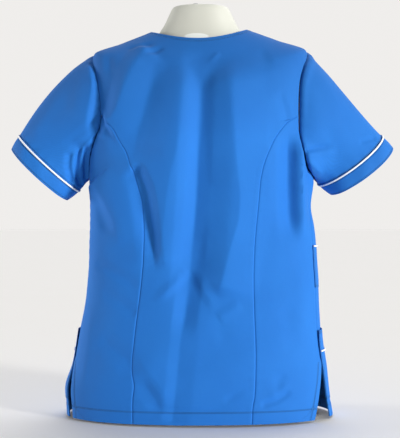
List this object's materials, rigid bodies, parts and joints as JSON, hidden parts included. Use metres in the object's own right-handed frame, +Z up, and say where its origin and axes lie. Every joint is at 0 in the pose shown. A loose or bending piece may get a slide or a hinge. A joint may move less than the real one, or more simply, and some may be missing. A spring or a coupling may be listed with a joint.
{
  "type": "nurse tunic on torso form",
  "caption": "Short-sleeved hip-length work tunic with princess seams, side vents, piped cuffs and pockets, on a limbless torso form with a flat base.",
  "frame": {"origin": "middle of the torso form's flat base, on the surface it stands on", "axes": "+Z up, +Y out of the tunic's back, +X toward the wearer's left"},
  "size_m": [0.729, 0.2467, 0.7864],
  "materials": {
    "tunic_cloth": "plain woven polyester cotton, slight sheen",
    "white_piping": "matte bias piping",
    "form_plastic": "satin off-white moulded plastic",
    "ferrule_steel": "satin steel"
  },
  "bodies": {
    "root": {"back_centre": "tunic_cloth", "back_side_left": "tunic_cloth", "back_side_right": "tunic_cloth", "front_centre": "tunic_cloth", "front_side_left": "tunic_cloth", "front_side_right": "tunic_cloth", "sleeve_left": "tunic_cloth", "sleeve_right": "tunic_cloth", "cuff_left": "tunic_cloth", "cuff_right": "tunic_cloth", "pocket_left": "tunic_cloth", "pocket_right": "tunic_cloth", "pocket_band_left": "tunic_cloth", "pocket_band_right": "tunic_cloth", "waist_pocket_right": "tunic_cloth", "sleeve_piping_left": "white_piping", "sleeve_piping_right": "white_piping", "pocket_piping_left": "white_piping", "pocket_piping_right": "white_piping", "waist_pocket_piping_right": "white_piping", "torso_form": "form_plastic", "form_ferrule": "ferrule_steel"}
  },
  "joints": []
}
